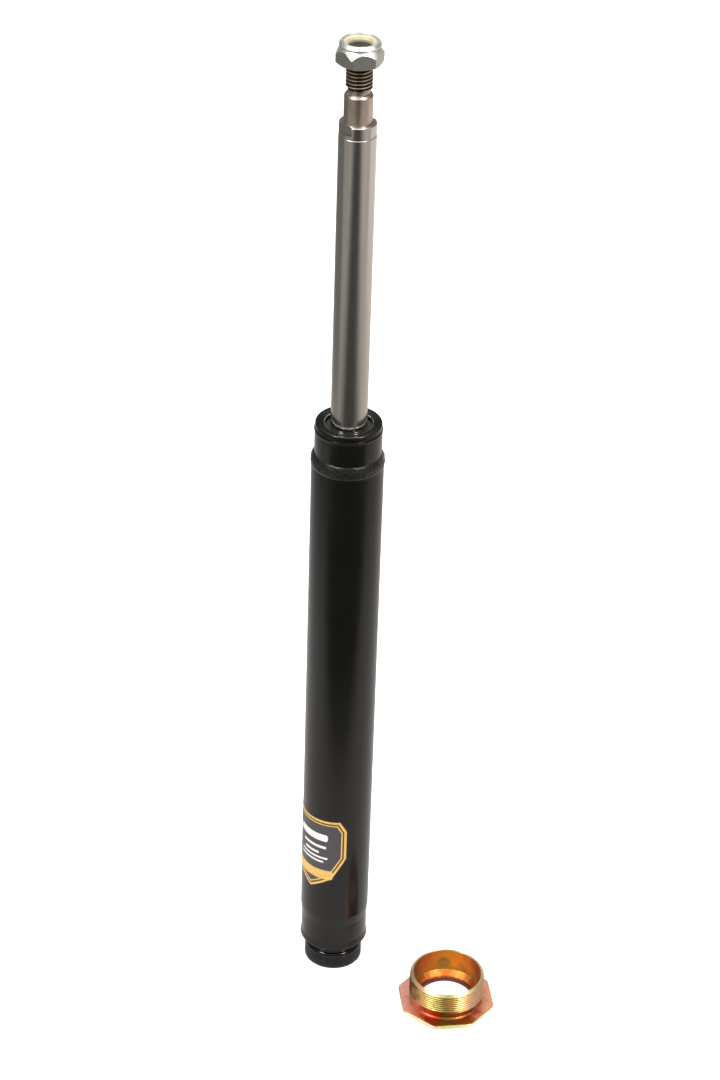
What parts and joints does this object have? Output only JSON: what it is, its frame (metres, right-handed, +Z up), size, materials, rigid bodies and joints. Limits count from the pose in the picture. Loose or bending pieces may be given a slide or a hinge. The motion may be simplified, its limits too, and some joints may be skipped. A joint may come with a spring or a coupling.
{
  "type": "strut insert damper cartridge",
  "caption": "Twin-tube damper cartridge for a MacPherson strut, rod extended, with its stud's lock nut and a loose octagonal gland nut.",
  "frame": {"origin": "centre of the foot's underside, on the piston rod's axis", "axes": "+Z up along the piston rod; the loose gland nut lies towards +X and -Y"},
  "size_m": [0.1172, 0.0894, 0.594],
  "materials": {
    "black_paint": "satin black paint",
    "foot_paint": "rough black paint",
    "chromed_rod": "ground and polished hard chrome",
    "plain_steel": "oiled plain steel",
    "valve_steel": "hardened spring steel",
    "sintered_iron": "sintered iron",
    "guide_bronze": "bronze bush lined with dark polymer",
    "seal_rubber": "nitrile rubber",
    "piston_band": "filled PTFE",
    "polished_steel": "polished pressed-steel washer",
    "zinc_plate": "bright zinc plate",
    "nylon": "ivory nylon",
    "yellow_chromate": "iridescent yellow chromate on zinc",
    "label_print": "printed film label"
  },
  "bodies": {
    "casing": {"base_cap": "foot_paint", "outer_tube": "black_paint", "neck_sleeve": "black_paint", "weld_bead": "black_paint", "inner_tube": "plain_steel", "label": "label_print", "rod_guide": "sintered_iron", "guide_bush": "guide_bronze", "guide_o_ring": "seal_rubber", "seal_washer": "plain_steel", "rod_seal": "seal_rubber", "seal_cap": "polished_steel", "garter_spring": "valve_steel", "foot_valve_body": "sintered_iron", "foot_intake_spring": "valve_steel", "foot_compression_shims": "valve_steel", "foot_valve_bolt": "plain_steel", "foot_valve_nut": "plain_steel"},
    "rod": {"piston_rod": "chromed_rod", "rebound_stop_ring": "plain_steel", "rebound_buffer": "seal_rubber", "piston": "sintered_iron", "piston_ring": "piston_band", "check_spring": "valve_steel", "backing_washer": "plain_steel", "rebound_spring": "valve_steel", "piston_nut": "plain_steel"},
    "rebound_valve": {"rebound_shims": "valve_steel", "rebound_seat": "plain_steel"},
    "check_valve": {"check_plate": "valve_steel"},
    "intake_valve": {"foot_intake_plate": "valve_steel"},
    "top_nut": {"lock_nut": "zinc_plate", "nylon_insert": "nylon"},
    "gland": {"gland_nut": "yellow_chromate"}
  },
  "joints": [
    {"name": "rod_stroke", "type": "slide", "parent": "casing", "child": "rod", "axis": [0, 0, 1], "range_m": [-0.165, 0], "stiffness_N_per_m": 300, "springref_m": 0.4},
    {"name": "lock_nut_off", "type": "slide", "parent": "rod", "child": "top_nut", "axis": [0, 0, 1], "range_m": [0, 0.08]},
    {"name": "gland_nut_lift", "type": "slide", "parent": "casing", "child": "gland", "axis": [0, 0, 1], "range_m": [0, 0.6]},
    {"name": "check_valve_lift", "type": "slide", "parent": "rod", "child": "check_valve", "axis": [0, 0, 1], "range_m": [0, 0.0008], "stiffness_N_per_m": 500, "springref_m": -0.002, "deforming": ["check_spring"]},
    {"name": "rebound_valve_lift", "type": "slide", "parent": "rod", "child": "rebound_valve", "axis": [0, 0, 1], "range_m": [-0.0015, 0], "stiffness_N_per_m": 8000, "springref_m": 0.003, "deforming": ["rebound_spring"]},
    {"name": "intake_valve_lift", "type": "slide", "parent": "casing", "child": "intake_valve", "axis": [0, 0, 1], "range_m": [0, 0.001], "stiffness_N_per_m": 500, "springref_m": -0.002, "deforming": ["foot_intake_spring"]}
  ]
}
